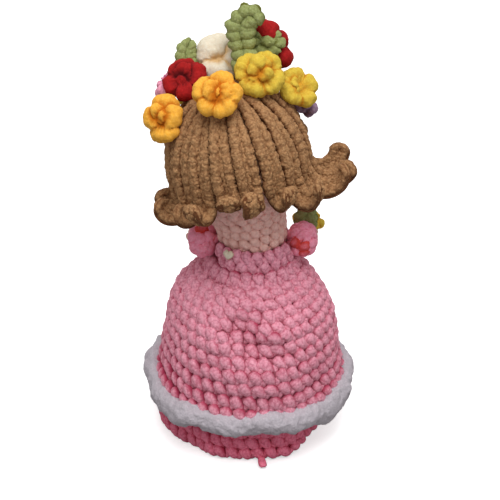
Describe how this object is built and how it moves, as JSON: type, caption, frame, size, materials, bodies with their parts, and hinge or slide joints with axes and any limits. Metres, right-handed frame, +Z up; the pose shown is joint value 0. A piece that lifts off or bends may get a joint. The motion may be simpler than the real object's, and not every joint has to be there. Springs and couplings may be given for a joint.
{
  "type": "amigurumi doll",
  "caption": "Crocheted standing doll in a flounced two-layer dress, with curled hair strips, roses on the head and one in the hand.",
  "frame": {"origin": "middle of the space the doll fills, on the surface it stands on", "axes": "+Z up; the doll faces -Y; +X is the doll's left"},
  "size_m": [0.1748, 0.1712, 0.3475],
  "materials": {
    "skin_yarn": "velvety chenille yarn in single crochet",
    "pink_yarn": "velvety chenille yarn in single crochet",
    "deep_pink_yarn": "velvety chenille yarn in single crochet",
    "white_yarn": "fluffy loop-pile yarn",
    "brown_yarn": "velvety chenille yarn in single crochet",
    "amber_yarn": "velvety chenille yarn in single crochet",
    "yellow_yarn": "velvety chenille yarn in single crochet",
    "red_yarn": "velvety chenille yarn in single crochet",
    "cream_yarn": "velvety chenille yarn in single crochet",
    "rose_pink_yarn": "velvety chenille yarn in single crochet",
    "lilac_yarn": "velvety chenille yarn in single crochet",
    "green_yarn": "velvety chenille yarn in single crochet",
    "shoe_yarn": "velvety chenille yarn in single crochet",
    "eye_plastic": "moulded domed plastic, polished",
    "washer_plastic": "moulded plastic, hidden inside the head"
  },
  "bodies": {
    "torso": {"torso": "skin_yarn", "bodice": "pink_yarn", "overskirt": "pink_yarn", "skirt_trim": "white_yarn", "underskirt": "deep_pink_yarn", "leg_left": "skin_yarn", "leg_right": "skin_yarn", "shoe_left": "shoe_yarn", "shoe_right": "shoe_yarn"},
    "neck": {"neck": "skin_yarn"},
    "head": {"head": "skin_yarn", "nose": "skin_yarn", "eye_left": "eye_plastic", "eye_right": "eye_plastic", "eye_washer_left": "washer_plastic", "eye_washer_right": "washer_plastic", "hair_lock_01": "brown_yarn", "hair_lock_02": "brown_yarn", "hair_lock_03": "brown_yarn", "hair_lock_04": "brown_yarn", "hair_lock_05": "brown_yarn", "hair_lock_06": "brown_yarn", "hair_lock_07": "brown_yarn", "hair_lock_08": "brown_yarn", "hair_lock_09": "brown_yarn", "hair_lock_10": "brown_yarn", "hair_lock_11": "brown_yarn", "hair_lock_12": "brown_yarn", "hair_lock_13": "brown_yarn", "hair_lock_14": "brown_yarn", "hair_lock_15": "brown_yarn", "hair_lock_16": "brown_yarn", "hair_lock_17": "brown_yarn", "hair_lock_18": "brown_yarn", "rose_amber_left": "amber_yarn", "rose_red_left": "red_yarn", "rose_amber_back": "amber_yarn", "rose_yellow_back": "yellow_yarn", "rose_yellow_right": "yellow_yarn", "rose_cream_top": "cream_yarn", "rose_pink_left": "rose_pink_yarn", "rose_yellow_front": "yellow_yarn", "rose_red_front": "red_yarn", "rose_amber_front": "amber_yarn", "rose_lilac_right": "lilac_yarn", "rose_red_top": "red_yarn", "crown_stem": "green_yarn", "leaf_side": "green_yarn", "leaf_tall": "green_yarn", "leaf_left": "green_yarn"},
    "arm_left": {"puff_sleeve_left": "pink_yarn", "arm_left": "skin_yarn"},
    "arm_right": {"puff_sleeve_right": "pink_yarn", "arm_right": "skin_yarn", "hand_rose": "yellow_yarn", "hand_leaf": "green_yarn"}
  },
  "joints": [
    {"name": "head_tilt", "type": "hinge", "parent": "torso", "child": "neck", "pos_m": [0, 0, 0.172], "axis": [0, 1, 0], "range_deg": [-12, 4]},
    {"name": "head_turn", "type": "hinge", "parent": "neck", "child": "head", "pos_m": [0, 0, 0.172], "axis": [0.1736, 0, 0.9848], "range_deg": [-25, 25]},
    {"name": "arm_left_swing", "type": "hinge", "parent": "torso", "child": "arm_left", "pos_m": [0.039, 0, 0.163], "axis": [1, 0, 0], "range_deg": [-30, 10]},
    {"name": "arm_right_swing", "type": "hinge", "parent": "torso", "child": "arm_right", "pos_m": [-0.039, 0, 0.163], "axis": [1, 0, 0], "range_deg": [-30, 10]}
  ]
}
